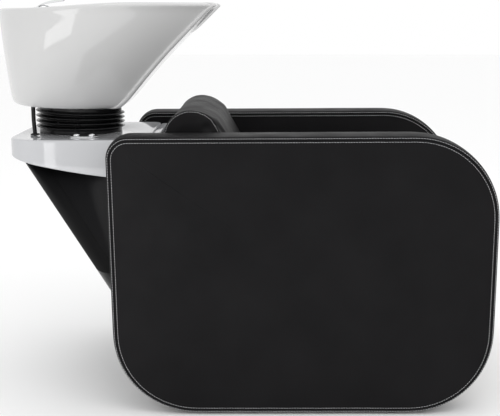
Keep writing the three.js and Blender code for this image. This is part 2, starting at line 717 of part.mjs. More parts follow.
// Everything in front of (or, with side -1, behind) the plane that the bowl's back wall leans in.
function bowlSide(side, shift) {
  const shape = new THREE.Shape();
  const slope = (bowlBackX - deckFrontX) / (deckZ - bowlFloorZ);
  const x = (z) => deckFrontX + shift + slope * (deckZ - z);
  const far = deckFrontX + side * 600;
  shape.moveTo(x(deckZ + 60), deckZ + 60);
  shape.lineTo(far, deckZ + 60);
  shape.lineTo(far, basinFloorZ - 60);
  shape.lineTo(x(basinFloorZ - 60), basinFloorZ - 60);
  return plateXZ(shape, -400, 400);
}

function makeBasin() {
  const heights = [0.25, 0.5, 0.75].map((share) => basinFloorZ + share * (rimBackZ - basinFloorZ));
  const hull = new ConvexGeometry([...basinRing(rimFrontZ + 2, 0),
    ...heights.flatMap((z) => basinRing(z, 0)),
    ...basinRing(basinFloorZ + 14, 0, floorSlope), ...basinRing(basinFloorZ, 8, floorSlope)]);
  const outer = overlap(hull, plateXZ(basinSide(), -basinHalfY - 15, basinHalfY + 15));
  const upper = new ConvexGeometry([...basinRing(deckZ, basinWall),
    ...basinRing(rimFrontZ + 10, basinWall + 3)]);
  const lower = new ConvexGeometry([...basinRing(deckZ + 1, basinWall),
    ...basinRing(heights[1], basinWall),
    ...basinRing(bowlFloorZ + 14, basinWall), ...basinRing(bowlFloorZ, basinWall + 12)]);
  const bowl = overlap(lower, bowlSide(1, 0));
  const neck = rodX(0, rimFrontZ + neckRadius - neckDepth, basinNeckX - 130, 0, neckRadius, 40);
  // hollow under the ledge, with a throat down into the bellows for the water hoses
  const inner = new ConvexGeometry([...basinRing(deckZ - basinWall, basinWall),
    ...basinRing(basinFloorZ + basinFloor, basinWall + 12)]);
  const under = overlap(inner, bowlSide(-1, -basinWall));
  const throat = rodZ(throatX, 0, basinFloorZ - 20, basinFloorZ + 20, 22);
  add('basin', cut(outer, bowl, upper, neck, under, throat,
    rodZ(drainX, 0, basinFloorZ - 50, bowlFloorZ + 20, drainRadius + drainWall + 1 + gap),
    rodZ(mixerX, 0, deckZ - 40, deckZ + 5, 15),
    rodZ(hoseX - 2, hoseY, basinFloorZ - 20, floorZ(hoseX) + 10, hoseRadius + gap)), ceramic);

  const waste = drainRadius + drainWall;
  const flangeZ = bowlFloorZ + gap;
  add('drain_flange', turned(drainX, 0, [[drainRadius, 672], [waste, 672], [waste, flangeZ],
    [waste + 11, flangeZ], [waste + 9, flangeZ + 2.5], [drainRadius, flangeZ + 1.5],
    [drainRadius, 672]]), chrome);
  add('drain_tailpiece', ringZ(drainX, 0, 630, 671.6, drainRadius - 3, drainRadius), plastic);
  const strainerZ = flangeZ + 2.5 + gap;
  add('hair_strainer', turned(drainX, 0, [[0, strainerZ], [waste + 5, strainerZ],
    [waste + 4, strainerZ + 2], [waste - 8, strainerZ + 5], [4, strainerZ + 6], [3, strainerZ + 12],
    [0, strainerZ + 13]], 28), chrome);
}

// ---------------------------------------------------------------- mixer and hand shower

function makeMixer() {
  const foot = deckZ + gap;
  add('mixer_body', turned(mixerX, 0, [[0, deckZ - 22], [13, deckZ - 22], [13, foot],
    [mixerRadius + 4, foot], [mixerRadius + 3, foot + 5], [mixerRadius, foot + 9],
    [mixerRadius, mixerTopZ], [0, mixerTopZ]]), chrome);

  const base = mixerTopZ + gap;
  const dome = turned(mixerX, 0, [[0, base], [mixerRadius - 1, base], [mixerRadius - 1, base + 5],
    [mixerRadius - 4, base + 12], [mixerRadius - 11, base + 17], [0, base + 19]]);
  const cheekY = leverWidth / 2 + gap;
  const cheeks = sides.map(([, sign]) => box(leverPivotX - 6, mixerX, ...onSide(sign, cheekY,
    cheekY + 3), base, leverPivotZ + 5));
  // room for the lever's tail between the cheeks, and behind the dome
  const slot = box(leverPivotX - 12, mixerX - 10, -cheekY, cheekY, base - 1, leverPivotZ + 30);
  const pinHole = rodY(leverPivotX, leverPivotZ, -20, 20, 2.5 + gap);
  const plinth = rodZ(mixerX, 0, base, base + 2, mixerRadius - 1, 32);
  add('mixer_cartridge', cut(join(cut(dome, slot), plinth, ...cheeks), pinHole), chrome);

  const lever = new THREE.Shape();
  lever.moveTo(leverPivotX - 3, leverPivotZ - 3);
  lever.lineTo(leverPivotX + 4, leverPivotZ - 2);
  lever.lineTo(leverPivotX + 6, leverPivotZ + 8);
  lever.quadraticCurveTo(mixerX, leverPivotZ + 13, mixerX + 14, leverPivotZ + 14.5);
  lever.lineTo(mixerX + 46, leverPivotZ + 19);
  lever.lineTo(mixerX + 52, leverPivotZ + 23);
  lever.lineTo(mixerX + 52, leverPivotZ + 30);
  lever.lineTo(mixerX + 46, leverPivotZ + 30);
  lever.quadraticCurveTo(mixerX + 44, leverPivotZ + 25, mixerX + 34, leverPivotZ + 23);
  lever.quadraticCurveTo(mixerX, leverPivotZ + 20, leverPivotX - 3, leverPivotZ + 4);
  const half = leverWidth / 2;
  add('mixer_lever', join(plateXZ(lever, -half, half),
    rodY(leverPivotX, leverPivotZ, -half - 2, half + 2, 2.5, 16)), chrome);
}

function makeHandShower() {
  const backX = basinBackX + 54;
  const axisZ = deckZ + showerGrip + 12;
  const headX = backX + 138;
  const grip = new THREE.CylinderGeometry(showerGrip, showerGrip - 2, 130, 20)
    .rotateZ(-Math.PI / 2).translate(backX + 65, showerY, axisZ);
  const head = new THREE.CylinderGeometry(25, 20, 20, 28)
    .rotateX(-Math.PI / 2).rotateY(-0.9).translate(headX, showerY, axisZ + 2);
  add('hand_shower', join(grip, head), chrome);
  const cradle = box(backX + 30, backX + 56, showerY - 14, showerY + 14, deckZ + gap, axisZ - 3);
  add('shower_cradle', cut(cradle, rodX(showerY, axisZ, backX, backX + 90, showerGrip + gap)),
    plastic);
}

makeArms();
makeSeat();
makeBackrest();
makePedestal();
makeConsole();
makeTilt();
makeBellows();
makeHoses();
makeBasin();
makeMixer();
makeHandShower();

export default unit;
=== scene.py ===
import math

import bmesh
import bpy
from mathutils import Matrix, Vector, noise
from mathutils.bvhtree import BVHTree
from mathutils.geometry import interpolate_bezier
from mathutils.kdtree import KDTree
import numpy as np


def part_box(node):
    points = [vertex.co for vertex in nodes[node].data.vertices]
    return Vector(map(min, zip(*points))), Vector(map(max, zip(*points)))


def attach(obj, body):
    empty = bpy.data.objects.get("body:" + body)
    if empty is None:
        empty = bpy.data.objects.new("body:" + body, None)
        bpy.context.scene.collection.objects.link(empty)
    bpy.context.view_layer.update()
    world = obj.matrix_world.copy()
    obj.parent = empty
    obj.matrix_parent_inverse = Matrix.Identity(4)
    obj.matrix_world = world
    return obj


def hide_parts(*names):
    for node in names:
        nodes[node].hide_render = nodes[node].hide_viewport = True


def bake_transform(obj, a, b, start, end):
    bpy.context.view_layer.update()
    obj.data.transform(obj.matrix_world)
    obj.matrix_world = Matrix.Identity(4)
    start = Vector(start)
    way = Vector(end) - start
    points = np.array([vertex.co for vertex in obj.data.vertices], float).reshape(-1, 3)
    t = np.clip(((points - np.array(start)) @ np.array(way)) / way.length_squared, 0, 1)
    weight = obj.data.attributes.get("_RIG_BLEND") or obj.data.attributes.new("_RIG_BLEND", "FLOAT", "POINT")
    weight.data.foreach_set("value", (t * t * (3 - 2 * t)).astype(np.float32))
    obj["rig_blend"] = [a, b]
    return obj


# A salon backwash unit: a seat between two padded arm panels, and behind it a leaning
# pedestal that carries a tilting ceramic basin. Metres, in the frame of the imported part.

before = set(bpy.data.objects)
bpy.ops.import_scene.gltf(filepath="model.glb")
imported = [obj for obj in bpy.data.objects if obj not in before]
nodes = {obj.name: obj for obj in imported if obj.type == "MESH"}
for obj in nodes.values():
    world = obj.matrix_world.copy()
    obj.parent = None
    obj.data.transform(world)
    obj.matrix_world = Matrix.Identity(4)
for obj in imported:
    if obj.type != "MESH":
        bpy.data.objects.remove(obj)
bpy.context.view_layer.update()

# ------------------------------------------------------------------ camera
# A long lens at the height of the basin's rim, square to the unit's near side and tipped
# down a little, so that the arm panel is seen face on.

camera = bpy.data.objects.new("camera", bpy.data.cameras.new("camera"))
bpy.context.scene.collection.objects.link(camera)
camera.data.sensor_width = 36
camera.data.lens = 69.1
camera.data.shift_x = -0.022
camera.location = (0.054, -2.417, 0.910)
camera.rotation_euler = (math.radians(90 - 11.4), 0, 0)
bpy.context.scene.camera = camera
bpy.context.scene.view_settings.view_transform = "Standard"

# ------------------------------------------------------------------ studio
# A pale floor that runs out of sight, a bright even sky, two large soft lamps overhead, and
# two low ones: a window that the glazed basin mirrors, and a door that the console mirrors.

floor_mesh = bmesh.new()
bmesh.ops.create_grid(floor_mesh, x_segments=2, y_segments=2, size=20)
floor = bpy.data.objects.new("studio_floor", bpy.data.meshes.new("studio_floor"))
floor_mesh.to_mesh(floor.data)
floor_mesh.free()
bpy.context.scene.collection.objects.link(floor)

studio_paint = bpy.data.materials.new("studio_paint")
studio_paint.use_nodes = True
paint_shader = studio_paint.node_tree.nodes["Principled BSDF"]
paint_shader.inputs["Base Color"].default_value = (0.97, 0.97, 0.97, 1)
paint_shader.inputs["Roughness"].default_value = 0.9
floor.data.materials.append(studio_paint)

sky = bpy.data.worlds.new("studio_sky")
sky.use_nodes = True
sky.node_tree.nodes["Background"].inputs["Color"].default_value = (1, 1, 1, 1)
sky.node_tree.nodes["Background"].inputs["Strength"].default_value = 1.0
bpy.context.scene.world = sky


def lamp(name, place, aim, width, height, power):
    """A rectangular soft lamp at place that faces aim."""
    made = bpy.data.objects.new(name, bpy.data.lights.new(name, "AREA"))
    made.data.shape = "RECTANGLE"
    made.data.size = width
    made.data.size_y = height
    made.data.energy = power
    made.location = place
    facing = Vector(aim) - Vector(place)
    made.rotation_euler = facing.to_track_quat("-Z", "Y").to_euler()
    bpy.context.scene.collection.objects.link(made)
    return made


lamp("key_lamp", (0.9, -2.0, 3.0), (0, 0, 0.5), 1.8, 1.2, 14)
lamp("top_lamp", (0.0, 0.6, 3.0), (0, 0, 0.5), 2.4, 1.6, 8)
lamp("window_lamp", (-0.72, -1.20, 0.28), (-0.45, -0.2, 0.85), 0.72, 0.31, 1.6)
lamp("door_lamp", (-0.89, -2.15, 0.47), (-0.45, -0.2, 0.60), 0.09, 0.42, 0.5)

# ------------------------------------------------------------------ steel frame
# Folded plate and square tube that nobody sees in use: base plate, column posts, top plate,
# tilt bracket, rails, side plates and backrest brackets, all powder coated in satin black.


def finish(name, colour, roughness, metallic=0.0, **sockets):
    """A material with one Principled shader, whose constants sit on its own sockets."""
    made = bpy.data.materials.new(name)
    made.use_nodes = True
    shader = made.node_tree.nodes["Principled BSDF"]
    shader.inputs["Base Color"].default_value = (*colour, 1)
    shader.inputs["Roughness"].default_value = roughness
    shader.inputs["Metallic"].default_value = metallic
    for socket, value in sockets.items():
        shader.inputs[socket.replace("_", " ")].default_value = value
    return made


def pattern(material, kind, scale, stretch=(1, 1, 1), **settings):
    """A Noise, Voronoi or Wave texture on Object coordinates, as the output that varies."""
    tree = material.node_tree
    where = tree.nodes.get("Place") or tree.nodes.new("ShaderNodeTexCoord")
    where.name = "Place"
    mapping = tree.nodes.new("ShaderNodeMapping")
    mapping.inputs["Scale"].default_value = stretch
    tree.links.new(where.outputs["Object"], mapping.inputs["Vector"])
    texture = tree.nodes.new(f"ShaderNodeTex{kind}")
    texture.inputs["Scale"].default_value = scale
    for setting, value in settings.items():
        if setting in ("feature", "bands_direction", "wave_profile"):
            setattr(texture, setting, value)
        else:
            texture.inputs[setting.replace("_", " ")].default_value = value
    tree.links.new(mapping.outputs["Vector"], texture.inputs["Vector"])
    return texture.outputs["Distance" if kind == "Voronoi" else "Fac"]


def spread(material, source, low, high, start=0.3, end=0.7):
    """The source mapped from start..end to low..high."""
    mapped = material.node_tree.nodes.new("ShaderNodeMapRange")
    mapped.inputs["From Min"].default_value = start
    mapped.inputs["From Max"].default_value = end
    mapped.inputs["To Min"].default_value = low
    mapped.inputs["To Max"].default_value = high
    material.node_tree.links.new(source, mapped.inputs["Value"])
    return mapped.outputs["Result"]


def tinted(material, source, low, high, start=0.3, end=0.7):
    """The base colour goes from low to high with the source."""
    tree = material.node_tree
    ramp = tree.nodes.new("ShaderNodeValToRGB")
    ramp.color_ramp.elements[0].position = start
    ramp.color_ramp.elements[1].position = end
    ramp.color_ramp.elements[0].color = (*low, 1)
    ramp.color_ramp.elements[1].color = (*high, 1)
    tree.links.new(source, ramp.inputs["Fac"])
    tree.links.new(ramp.outputs["Color"], tree.nodes["Principled BSDF"].inputs["Base Color"])


def rubbed(material, source, low, high, start=0.3, end=0.7):
    """The roughness goes from low to high with the source."""
    tree = material.node_tree
    shader = tree.nodes["Principled BSDF"]
    tree.links.new(spread(material, source, low, high, start, end), shader.inputs["Roughness"])


def embossed(material, source, height, strength=1.0):
    """The source raises the surface by up to height, over any relief it already has."""
    tree = material.node_tree
    shader = tree.nodes["Principled BSDF"]
    bump = tree.nodes.new("ShaderNodeBump")
    bump.inputs["Strength"].default_value = strength
    bump.inputs["Distance"].default_value = height
    tree.links.new(source, bump.inputs["Height"])
    earlier = shader.inputs["Normal"].links
    if earlier:
        tree.links.new(earlier[0].from_socket, bump.inputs["Normal"])
    tree.links.new(bump.outputs["Normal"], shader.inputs["Normal"])


def placed(bm, name, material, body, stands_for=(), smooth=True):
    """Makes a finished piece of bm: faces outwards, its material on, riding on its body."""
    bmesh.ops.remove_doubles(bm, verts=bm.verts, dist=1e-6)
    bmesh.ops.recalc_face_normals(bm, faces=bm.faces)
    made = bpy.data.objects.new(name, bpy.data.meshes.new(name))
    bm.to_mesh(made.data)
    bm.free()
    made.data.polygons.foreach_set("use_smooth", [smooth] * len(made.data.polygons))
    made.data.materials.append(material)
    bpy.context.scene.collection.objects.link(made)
    if body:
        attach(made, body)
    if stands_for:
        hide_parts(*stands_for)
    return made


def softened(made, width, segments=2, angle=30):
    """A Bevel modifier that breaks a piece's hard edges."""
    bevel = made.modifiers.new("broken_edges", "BEVEL")
    bevel.width = width
    bevel.segments = segments
    bevel.limit_method = "ANGLE"
    bevel.angle_limit = math.radians(angle)
    bevel.harden_normals = True
    return made


def from_cad(node, name, material, body, edge=0.0006, flat=35):
    """A piece in the shape of a CAD node: merged, its flat faces joined, its edges broken."""
    bm = bmesh.new()
    bm.from_mesh(nodes[node].data)
    bmesh.ops.remove_doubles(bm, verts=bm.verts, dist=2e-6)
    bmesh.ops.dissolve_limit(bm, angle_limit=math.radians(1), verts=bm.verts, edges=bm.edges)
    made = placed(bm, name, material, body, (node,))
    for layer in [a for a in made.data.attributes if a.name == "custom_normal"]:
        made.data.attributes.remove(layer)
    made.data.set_sharp_from_angle(angle=math.radians(flat))
    return softened(made, edge, 2, flat) if edge else made


def painted(material, *names):
    """Puts a finish on CAD nodes that keep their own mesh."""
    for name in names:
        slots = nodes[name].material_slots
        for each in slots:
            each.material = material
        if not slots:
            nodes[name].data.materials.append(material)


powder_coat = finish("powder_coat", (0.018, 0.019, 0.021), 0.42, Coat_Weight=0.2)
orange_peel = pattern(powder_coat, "Noise", 900, Detail=2)
embossed(powder_coat, orange_peel, 0.00012)
rubbed(powder_coat, pattern(powder_coat, "Noise", 14, Detail=4), 0.36, 0.5)
tinted(powder_coat, pattern(powder_coat, "Noise", 30, Detail=3),
       (0.014, 0.015, 0.017), (0.026, 0.027, 0.03))

for node, name in [
    ("base_plate", "floor_plate"),
    ("column_post_near", "near_column_post"),
    ("column_post_far", "far_column_post"),
    ("column_top_plate", "column_head_plate"),
    ("tilt_bracket", "tilt_cradle"),
    ("front_rail", "front_cross_rail"),
    ("rear_rail", "rear_cross_rail"),
    ("seat_side_plate_near", "near_seat_plate"),
    ("seat_side_plate_far", "far_seat_plate"),
    ("backrest_bracket_near", "near_back_bracket"),
    ("backrest_bracket_far", "far_back_bracket"),
]:
    from_cad(node, name, powder_coat, "base", 0.0008)

# Zinc plated bolts and pivot pins, and the cast carrier bolted under the basin.
zinc_plate = finish("zinc_plate", (0.55, 0.56, 0.58), 0.35, 0.9)
tinted(zinc_plate, pattern(zinc_plate, "Voronoi", 240),
       (0.42, 0.44, 0.47), (0.66, 0.67, 0.68), 0.1, 0.8)
rubbed(zinc_plate, pattern(zinc_plate, "Noise", 120, Detail=4), 0.25, 0.5)
for node, name, body in [
    ("arm_bolt_near_back", "near_rear_arm_bolt", "base"),
    ("arm_bolt_near_front", "near_front_arm_bolt", "base"),
    ("arm_bolt_far_back", "far_rear_arm_bolt", "base"),
    ("arm_bolt_far_front", "far_front_arm_bolt", "base"),
    ("bracket_bolt_near", "near_cradle_bolt", "base"),
    ("bracket_bolt_far", "far_cradle_bolt", "base"),
    ("basin_carrier", "basin_saddle", "basin"),
    ("pivot_pin_near", "near_pivot_pin", "basin"),
    ("pivot_pin_far", "far_pivot_pin", "basin"),
]:
    from_cad(node, name, zinc_plate, body, 0.0005)

# ------------------------------------------------------------------ pedestal
# A wedge of black laminated board that leans back under the basin: a wrap-round shell with
# big rounded rear corners, closed by a flat front panel, and the same board under the seat.


def outline(corners, inset=0.0, arc=10, run=0.05):
    """Points round a convex shape of counter-clockwise (a, b, radius) corners, drawn in by
    inset. A straight run gets the same number of points at every inset."""
    edges = []
    for (a0, b0, _), (a1, b1, _) in zip(corners, corners[1:] + corners[:1]):
        along = Vector((a1 - a0, b1 - b0))
        length = along.length
        along.normalize()
        inward = Vector((-along.y, along.x))
        edges.append((Vector((a0, b0)) + inward * inset, along, inward, length))
    arcs = []
    for i, (_, _, radius) in enumerate(corners):
        p, d, n, _ = edges[i - 1]
        q, e, _, _ = edges[i]
        turn = d.cross(e)
        meet = p + d * ((q - p).cross(e) / turn)
        angle = math.atan2(turn, d.dot(e))
        bend = max(radius - inset, 0.002)
        centre = meet - d * bend * math.tan(angle / 2) + n * bend
        spoke = -n * bend
        arcs.append([centre + Matrix.Rotation(angle * k / arc, 2) @ spoke for k in range(arc + 1)])
    drawn = []
    for i, points in enumerate(arcs):
        drawn += points
        after = arcs[(i + 1) % len(arcs)][0]
        parts = max(1, round(edges[i][3] / run))
        drawn += [points[-1].lerp(after, k / parts) for k in range(1, parts)]
    return drawn


def drawn_out(bm, loop, places):
    """Extrudes a closed loop of vertices, and puts the new loop at places, in the same order."""
    rim = [bm.edges.get((a, b)) for a, b in zip(loop, loop[1:] + loop[:1])]
    made = bmesh.ops.extrude_edge_only(bm, edges=rim)["geom"]
    fresh = {v for v in made if isinstance(v, bmesh.types.BMVert)}
    following = []
    for vertex, place in zip(loop, places):
        new = next(e.other_vert(vertex) for e in vertex.link_edges if e.other_vert(vertex) in fresh)
        new.co = place
        following.append(new)
    return following


def lofted(sections, closed=False):
    """A skin through loops of points. The two ends are capped, or joined if it is closed."""
    bm = bmesh.new()
    first = bmesh.ops.create_circle(bm, segments=len(sections[0]), radius=1)["verts"]
    for vertex, place in zip(first, sections[0]):
        vertex.co = place
    loop = first
    for section in sections[1:]:
        loop = drawn_out(bm, loop, section)
    if closed:
        loop = drawn_out(bm, loop, sections[0])
        bmesh.ops.remove_doubles(bm, verts=first + loop, dist=1e-7)
    else:
        bmesh.ops.contextual_create(bm, geom=first)
        bmesh.ops.contextual_create(bm, geom=loop)
    return bm


laminate = finish("black_board", (0.012, 0.012, 0.013), 0.3, Specular_IOR_Level=0.2)
embossed(laminate, pattern(laminate, "Noise", 700, Detail=3), 0.00008)
rubbed(laminate, pattern(laminate, "Noise", 5, Detail=5), 0.24, 0.36)
tinted(laminate, pattern(laminate, "Noise", 9, Detail=5),
       (0.010, 0.010, 0.011), (0.014, 0.014, 0.015))

shell_low, shell_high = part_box("pedestal_back")
shell_wall = 0.005
shell_corner = 0.070
shell_depth = 0.240
shell_lean = (shell_high.x - shell_low.x - shell_depth) / (shell_high.z - shell_low.z)


def shell_section(z, inset, front):
    """The pedestal's shell at height z: back corners rounded, open side at front."""
    back = shell_low.x + shell_lean * (shell_high.z - z) + inset
    side = shell_high.y - inset
    tip = shell_low.x + shell_lean * (shell_high.z - z) + front
    curve = [Vector((tip, side))]
    for turn, sign in ((0.5, 1), (1.0, -1)):
        centre = Vector((shell_low.x + shell_lean * (shell_high.z - z) + shell_corner,
                         sign * (shell_high.y - shell_corner)))
        for k in range(13):
            angle = math.pi * (turn + k / 24)
            spoke = Vector((math.cos(angle), math.sin(angle)))
            curve.append(centre + (shell_corner - inset) * spoke)
    curve.append(Vector((tip, -side)))
    return [Vector((p.x, p.y, z)) for p in curve]


shell_rings = []
for z in (shell_low.z, shell_high.z):
    inner_face = shell_section(z, shell_wall, shell_depth)
    shell_rings.append(shell_section(z, 0, shell_depth) + inner_face[::-1])
softened(placed(lofted(shell_rings), "pedestal_shell", laminate, "base",
                ("pedestal_back",)), 0.0012, 3)
bpy.data.objects["pedestal_shell"].data.set_sharp_from_angle(angle=math.radians(40))
from_cad("pedestal_front", "pedestal_front_panel", laminate, "base", 0.001)
from_cad("front_panel", "seat_kick_panel", laminate, "base", 0.001)

# ------------------------------------------------------------------ floor glides
# Four round plastic glides under the arm panels, chamfered, with a fine moulded texture.

moulded = finish("grey_moulding", (0.03, 0.03, 0.032), 0.5)
embossed(moulded, pattern(moulded, "Noise", 1500, Detail=2), 0.0001)
rubbed(moulded, pattern(moulded, "Noise", 40), 0.42, 0.6)
tinted(moulded, pattern(moulded, "Noise", 60, Detail=3), (0.024, 0.024, 0.026), (0.04, 0.04, 0.042))


def turned(profile, x, y, segments=48, cap=True):
    """A closed body of revolution about the upright line at x, y, from (radius, z) points."""
    bm = bmesh.new()
    line = [bm.verts.new((r, 0, z)) for r, z in profile]
    edges = [bm.edges.new(pair) for pair in zip(line, line[1:])]
    bmesh.ops.spin(bm, geom=line + edges, cent=(0, 0, 0), axis=(0, 0, 1), angle=2 * math.pi,
                   steps=segments, use_merge=True)
    bmesh.ops.remove_doubles(bm, verts=bm.verts, dist=1e-6)
    bmesh.ops.translate(bm, verts=bm.verts, vec=(x, y, 0))
    return bm


def creased(made, angle=35):
    """Keeps the edges that turn by more than angle sharp in the shading."""
    made.data.set_sharp_from_angle(angle=math.radians(angle))
    return made


for side in ("near", "far"):
    for end in ("back", "front"):
        low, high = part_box(f"arm_glide_{side}_{end}")
        r, centre = (high.x - low.x) / 2, (low + high) / 2
        glide = turned([(0, 0), (r - 0.0015, 0), (r, 0.0012), (r, high.z), (0, high.z)],
                       centre.x, centre.y)
        creased(placed(glide, f"{side}_{end}_glide", moulded, "base",
                       (f"arm_glide_{side}_{end}",)))

# ------------------------------------------------------------------ plywood
# Birch plywood cores in the arms, and the boards under the seat and behind the backrest.

birch = finish("birch_plywood", (0.5, 0.34, 0.19), 0.6)
grain = pattern(birch, "Wave", 60, stretch=(0.15, 1, 1), Distortion=3.5, Detail=3)
tinted(birch, grain, (0.40, 0.26, 0.14), (0.60, 0.43, 0.26), 0.2, 0.8)
embossed(birch, grain, 0.0002)
rubbed(birch, pattern(birch, "Noise", 200, Detail=3), 0.5, 0.75)
for node, name in [("arm_core_near", "near_arm_core"), ("arm_core_far", "far_arm_core"),
                   ("seat_board", "seat_base_board"), ("backrest_board", "back_board")]:
    from_cad(node, name, birch, "base", 0.0006)

# ------------------------------------------------------------------ upholstered arms
# Thick panels with big round corners, padded with foam and covered in black vinyl. Each
# face panel meets the boxing in a seam just inside the edge, with pale thread either side.

vinyl = finish("black_vinyl", (0.007, 0.0068, 0.0075), 0.5, Specular_IOR_Level=0.10)
vinyl_creases = pattern(vinyl, "Noise", 46, Detail=5, Distortion=0.6)
vinyl_grain = pattern(vinyl, "Voronoi", 720, feature="F1")
embossed(vinyl, vinyl_creases, 0.0011, 0.35)
embossed(vinyl, vinyl_grain, 0.00022, 0.7)
rubbed(vinyl, pattern(vinyl, "Noise", 18, Detail=6), 0.44, 0.58)
tinted(vinyl, pattern(vinyl, "Noise", 6, Detail=4),
       (0.0056, 0.0054, 0.006), (0.0084, 0.0081, 0.0088))

thread = finish("pale_thread", (0.6, 0.6, 0.61), 0.7, Sheen_Weight=0.3)
thread_twist = pattern(thread, "Wave", 900, stretch=(1, 0.4, 1))
embossed(thread, thread_twist, 0.0002)
tinted(thread, pattern(thread, "Noise", 300), (0.52, 0.52, 0.53), (0.68, 0.68, 0.69))

arm_cross = [
    (0.046, 0.0004), (0.034, 0.0006), (0.024, 0.0009), (0.0165, 0.0011), (0.0125, 0.0012),
    (0.0105, 0.0012), (0.0096, 0.0024), (0.0087, 0.0034), (0.0078, 0.0030), (0.0068, 0.0018),
    (0.0050, 0.0024), (0.0034, 0.0036), (0.0018, 0.0056), (0.0006, 0.0082), (0.0, 0.0110),
    (-0.0012, 0.0200), (-0.0022, 0.0330),
]
arm_stitch_rows = [0.0045, 0.0128]


def depth_at(cross, inset):
    """How far under the face the padded section lies at this distance from the edge."""
    for (i0, d0), (i1, d1) in zip(cross, cross[1:]):
        if i1 <= inset <= i0:
            return d1 + (d0 - d1) * (inset - i1) / (i0 - i1)
    return cross[0][1]


def stitched(bm, path, pitch=0.0060, length=0.0050, thick=0.0012):
    """Lays stitches end to end along a closed run of points, each a small spindle of thread.
    They are gathered a few dozen at a time, because an operator slows down on a full mesh."""
    legs = list(zip(path, path[1:] + path[:1]))
    total = sum((b - a).length for a, b in legs)
    step, walked, wanted = total / round(total / pitch), 0.0, 0.0
    places = []
    for a, b in legs:
        reach = (b - a).length
        while reach > 0 and wanted < walked + reach:
            turn = (b - a).to_track_quat("X", "Z").to_matrix().to_4x4()
            size = Matrix.Diagonal((length / 2, thick / 2, thick / 2, 1))
            places.append(Matrix.Translation(a.lerp(b, (wanted - walked) / reach)) @ turn @ size)
            wanted += step
        walked += reach
    gathered = 40
    for start in range(0, len(places), gathered):
        few, held = bmesh.new(), bpy.data.meshes.new("stitches")
        for place in places[start:start + gathered]:
            bmesh.ops.create_uvsphere(few, u_segments=6, v_segments=5, radius=1, matrix=place)
        few.to_mesh(held)
        few.free()
        bm.from_mesh(held)
        bpy.data.meshes.remove(held)


def arm_corners(low, high):
    rise, rake = 0.004, 0.007
    return [(low.x + rake, low.z, 0.190), (high.x, low.z, 0.190), (high.x, high.z, 0.190),
            (low.x, high.z - rise, 0.050)]


for side, sign in (("near", -1), ("far", 1)):
    low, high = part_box(f"arm_cover_{side}")
    corners = arm_corners(low, high)
    sections = []
    for face, inward in ((low.y, 1), (high.y, -1)):
        cross = arm_cross if inward > 0 else arm_cross[::-1]
        for inset, depth in cross:
            sections.append([Vector((p.x, face + inward * depth, p.y))
                             for p in outline(corners, inset, 14, 0.045)])
    panel = lofted(sections)
    for vertex in panel.verts:
        ripple = noise.noise(vertex.co * 9) * 0.0011 + noise.noise(vertex.co * 27) * 0.0003
        vertex.co.y += ripple * (1 if vertex.co.y > (low.y + high.y) / 2 else -1)
    panel_object = placed(panel, f"{side}_arm_upholstery", vinyl, "base",
                          (f"arm_cover_{side}", f"arm_inner_pad_{side}"))
    rounder = panel_object.modifiers.new("rounder", "SUBSURF")
    rounder.levels = rounder.render_levels = 1
    stitches = bmesh.new()
    for face, inward in ((low.y, 1), (high.y, -1)):
        for inset in arm_stitch_rows:
            y = face + inward * (depth_at(arm_cross, inset) - 0.0003)
            ring = [Vector((p.x, y, p.y)) for p in outline(corners, inset, 14, 0.045)]
            for point in ring:
                ripple = noise.noise(point * 9) * 0.0011 + noise.noise(point * 27) * 0.0003
                point.y -= ripple * inward
            stitched(stitches, ring)
    placed(stitches, f"{side}_arm_stitching", thread, "base")

# ------------------------------------------------------------------ seat and backrest
# Foam cushions in the same vinyl: a block with a round nose, and a leaning pad with a round
# top. The covers are swelled by a cloth simulation, and then seamed and stitched.


def swelled(bm, name, voxel, cap, held, frames=20):
    """Blows the closed shape up as a cloth bag. No point moves more than cap, and none
    where held(point) is 0."""
    start = bpy.data.objects.new(name, bpy.data.meshes.new(name))
    bmesh.ops.recalc_face_normals(bm, faces=bm.faces)
    bm.to_mesh(start.data)
    bm.free()
    bpy.context.scene.collection.objects.link(start)
    remesh = start.modifiers.new("remesh", "REMESH")
    remesh.mode = "VOXEL"
    remesh.voxel_size = voxel
    bpy.context.view_layer.update()
    graph = bpy.context.evaluated_depsgraph_get()
    body = bpy.data.meshes.new_from_object(start.evaluated_get(graph))
    start.modifiers.clear()
    start.data = body
    rest = [v.co.copy() for v in body.vertices]
    moved = rest
    cloth = start.modifiers.new("cloth", "CLOTH")
    cloth.settings.use_pressure = True
    cloth.settings.uniform_pressure_force = 4
    cloth.settings.effector_weights.gravity = 0
    for each in range(1, frames + 1):
        bpy.context.scene.frame_set(each)
    graph = bpy.context.evaluated_depsgraph_get()
    moved = [v.co.copy() for v in start.evaluated_get(graph).data.vertices]
    bpy.context.scene.frame_set(1)
    start.modifiers.clear()
    result = bmesh.new()
    result.from_mesh(body)
    for vertex, was, now in zip(result.verts, rest, moved):
        shift = now - was
        if shift.length > cap:
            shift *= cap / shift.length
        vertex.co = was + shift * held(was)
    bpy.data.objects.remove(start)
    bmesh.ops.smooth_vert(result, verts=result.verts, factor=0.5, use_axis_x=True, use_axis_y=True,
                          use_axis_z=True)
    return result


def seamed(bm, path, width, depth):
    """Draws the cover in along the path, as a sewn seam does."""
    near = KDTree(len(path))
    for i, point in enumerate(path):
        near.insert(point, i)
    near.balance()
    bm.normal_update()
    for vertex in bm.verts:
        gap = near.find(vertex.co)[2]
        if gap < width:
            vertex.co -= vertex.normal * depth * (1 - gap / width) ** 2


def dense(path, step=0.003):
    """The closed path with a point about every step."""
    points = []
    for a, b in zip(path, path[1:] + path[:1]):
        parts = max(1, round((b - a).length / step))
        points += [a.lerp(b, k / parts) for k in range(parts)]
    return points


